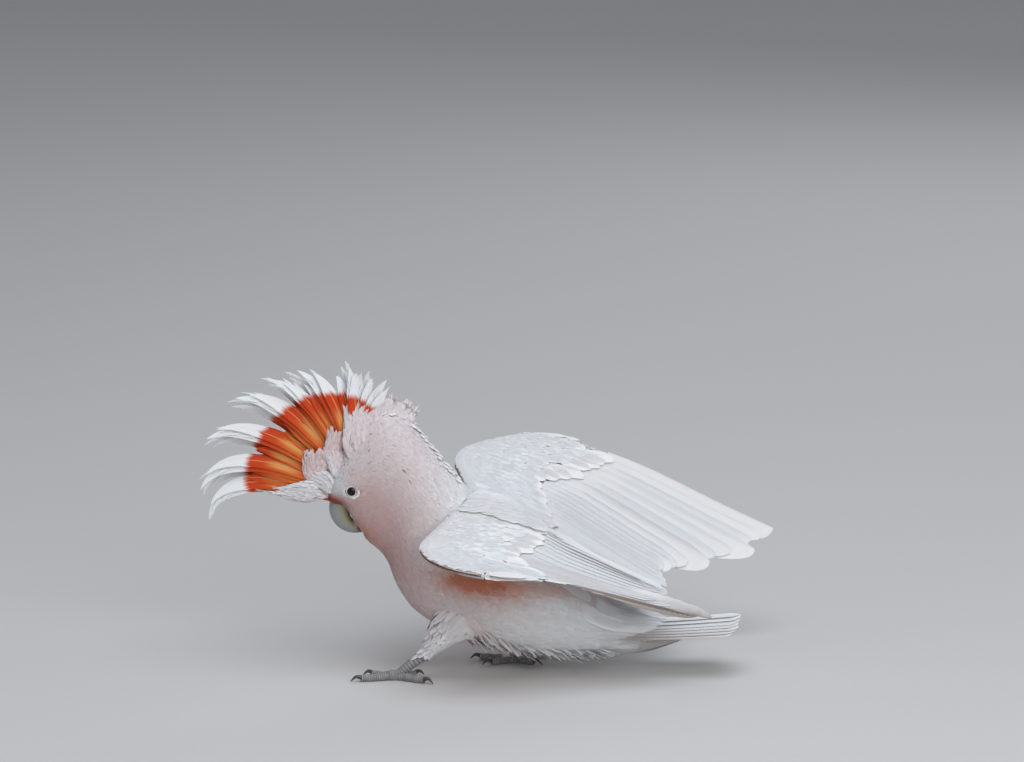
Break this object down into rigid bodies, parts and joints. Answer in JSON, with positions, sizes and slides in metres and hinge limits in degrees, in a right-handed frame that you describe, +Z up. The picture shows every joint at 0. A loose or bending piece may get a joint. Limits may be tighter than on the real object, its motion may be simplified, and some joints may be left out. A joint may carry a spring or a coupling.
{
  "type": "cockatoo",
  "caption": "Life-size still pink cockatoo, standing with its crest fanned and both wings held half open, for a display or diorama.",
  "frame": {"origin": "on the floor, under the middle of the whole bird's box", "axes": "+Z up; the bird faces -X; its left side is at -Y"},
  "size_m": [0.4646, 0.2352, 0.2513],
  "materials": {
    "plumage_rose": "soft matt feathers, dusty salmon pink",
    "plumage_white": "soft matt feathers, white with a breath of pink",
    "plumage_crest": "soft matt feathers, orange-red with a yellow streak and white tips",
    "horn": "satin horn, pale grey",
    "eye": "wet, near black",
    "skin_foot": "rough scaled skin, grey",
    "claw": "satin, dark grey"
  },
  "bodies": {
    "root": {"bill_lower": "horn", "bill_upper": "horn", "claw_left_hallux": "claw", "claw_left_inner": "claw", "claw_left_long": "claw", "claw_left_outer": "claw", "claw_right_hallux": "claw", "claw_right_inner": "claw", "claw_right_long": "claw", "claw_right_outer": "claw", "crest": "plumage_crest", "eye_left": "eye", "eye_right": "eye", "head": "plumage_rose", "neck": "plumage_rose", "shank_left": "skin_foot", "shank_right": "skin_foot", "tail": "plumage_white", "thigh_left": "plumage_white", "thigh_right": "plumage_white", "toe_left_hallux": "skin_foot", "toe_left_inner": "skin_foot", "toe_left_long": "skin_foot", "toe_left_outer": "skin_foot", "toe_right_hallux": "skin_foot", "toe_right_inner": "skin_foot", "toe_right_long": "skin_foot", "toe_right_outer": "skin_foot", "trunk": "plumage_white", "wing_left_coverts": "plumage_white", "wing_left_primaries": "plumage_white", "wing_left_secondaries": "plumage_white", "wing_right_coverts": "plumage_white", "wing_right_primaries": "plumage_white", "wing_right_secondaries": "plumage_white"}
  },
  "joints": []
}
